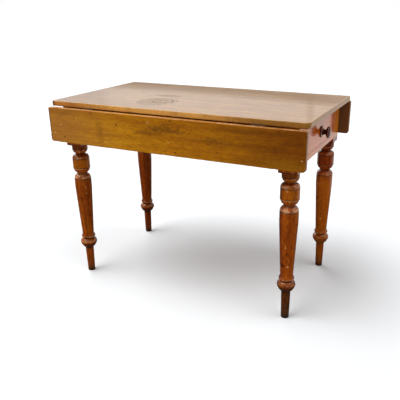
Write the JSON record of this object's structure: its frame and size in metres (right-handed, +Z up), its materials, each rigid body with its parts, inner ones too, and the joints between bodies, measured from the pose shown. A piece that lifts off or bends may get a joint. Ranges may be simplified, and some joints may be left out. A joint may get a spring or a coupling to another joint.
{
  "type": "pembroke table",
  "caption": "Pembroke table in polished wood: fixed top with two drop leaves on fly brackets, an end drawer with a turned knob, and turned tapering legs on square blocks.",
  "frame": {"origin": "on the floor, under the middle of the top", "axes": "+X along the table's length towards the drawer end, +Y across it towards the back leaf, +Z up"},
  "size_m": [1.016, 0.604, 0.73],
  "materials": {
    "top_board": "old French polish over straight-grained hardwood, ring-marked and worn at the arrises",
    "leaf_board": "old polish, streaky straight grain along the leaf",
    "turned_leg": "red-brown stained and polished, worn pale on the rounds, dirty in the quirks",
    "show_frame": "polished",
    "dark_knob": "dark stained turned wood, polished",
    "rail_wood": "planed and stained, unpolished",
    "inner_pine": "bare planed softwood, darkened with age",
    "hinge_iron": "dark aged iron",
    "screw_steel": "dull aged steel"
  },
  "bodies": {
    "table": {"back_drawer_guide": "inner_pine", "back_drawer_runner": "inner_pine", "back_fly_rail": "rail_wood", "back_kicker": "inner_pine", "back_left_fly_pin": "hinge_iron", "back_left_fly_rail_end": "rail_wood", "back_left_hinge_pin": "hinge_iron", "back_left_hinge_top_plate": "hinge_iron", "back_left_leg": "turned_leg", "back_right_fly_pin": "hinge_iron", "back_right_fly_rail_end": "rail_wood", "back_right_hinge_pin": "hinge_iron", "back_right_hinge_top_plate": "hinge_iron", "back_right_leg": "turned_leg", "back_side_rail": "rail_wood", "centre_top": "top_board", "drawer_stops": "inner_pine", "fly_rail_screws": "screw_steel", "front_drawer_guide": "inner_pine", "front_drawer_runner": "inner_pine", "front_fly_rail": "rail_wood", "front_kicker": "inner_pine", "front_left_fly_pin": "hinge_iron", "front_left_fly_rail_end": "rail_wood", "front_left_hinge_pin": "hinge_iron", "front_left_hinge_top_plate": "hinge_iron", "front_left_leg": "turned_leg", "front_right_fly_pin": "hinge_iron", "front_right_fly_rail_end": "rail_wood", "front_right_hinge_pin": "hinge_iron", "front_right_hinge_top_plate": "hinge_iron", "front_right_leg": "turned_leg", "front_side_rail": "rail_wood", "glue_blocks": "inner_pine", "left_end_rail": "show_frame", "lower_drawer_rail": "show_frame", "top_hinge_screws": "screw_steel", "top_screws": "screw_steel", "upper_drawer_rail": "show_frame"},
    "front_leaf": {"front_leaf": "leaf_board", "front_leaf_hinge_screws": "screw_steel", "front_left_hinge_leaf_plate": "hinge_iron", "front_right_hinge_leaf_plate": "hinge_iron"},
    "back_leaf": {"back_leaf": "leaf_board", "back_leaf_hinge_screws": "screw_steel", "back_left_hinge_leaf_plate": "hinge_iron", "back_right_hinge_leaf_plate": "hinge_iron"},
    "drawer": {"back_drawer_side": "inner_pine", "drawer_back": "inner_pine", "drawer_bottom": "inner_pine", "drawer_bottom_nails": "screw_steel", "drawer_front": "show_frame", "drawer_knob": "dark_knob", "front_drawer_side": "inner_pine"},
    "front_left_fly": {"front_left_fly_bracket": "rail_wood"},
    "front_right_fly": {"front_right_fly_bracket": "rail_wood"},
    "back_left_fly": {"back_left_fly_bracket": "rail_wood"},
    "back_right_fly": {"back_right_fly_bracket": "rail_wood"}
  },
  "joints": [
    {"name": "front_leaf_hinge", "type": "hinge", "parent": "table", "child": "front_leaf", "pos_m": [0, -0.2805, 0.7085], "axis": [-1, 0, 0], "range_deg": [0, 90]},
    {"name": "back_leaf_hinge", "type": "hinge", "parent": "table", "child": "back_leaf", "pos_m": [0, 0.2805, 0.7085], "axis": [1, 0, 0], "range_deg": [0, 90]},
    {"name": "drawer_slide", "type": "slide", "parent": "table", "child": "drawer", "axis": [1, 0, 0], "range_m": [0, 0.36]},
    {"name": "front_left_fly_hinge", "type": "hinge", "parent": "table", "child": "front_left_fly", "pos_m": [-0.185, -0.246, 0.64], "axis": [0, 0, 1], "range_deg": [0, 11]},
    {"name": "front_right_fly_hinge", "type": "hinge", "parent": "table", "child": "front_right_fly", "pos_m": [0.185, -0.246, 0.64], "axis": [0, 0, -1], "range_deg": [0, 11]},
    {"name": "back_left_fly_hinge", "type": "hinge", "parent": "table", "child": "back_left_fly", "pos_m": [-0.185, 0.246, 0.64], "axis": [0, 0, -1], "range_deg": [0, 11]},
    {"name": "back_right_fly_hinge", "type": "hinge", "parent": "table", "child": "back_right_fly", "pos_m": [0.185, 0.246, 0.64], "axis": [0, 0, 1], "range_deg": [0, 11]}
  ]
}
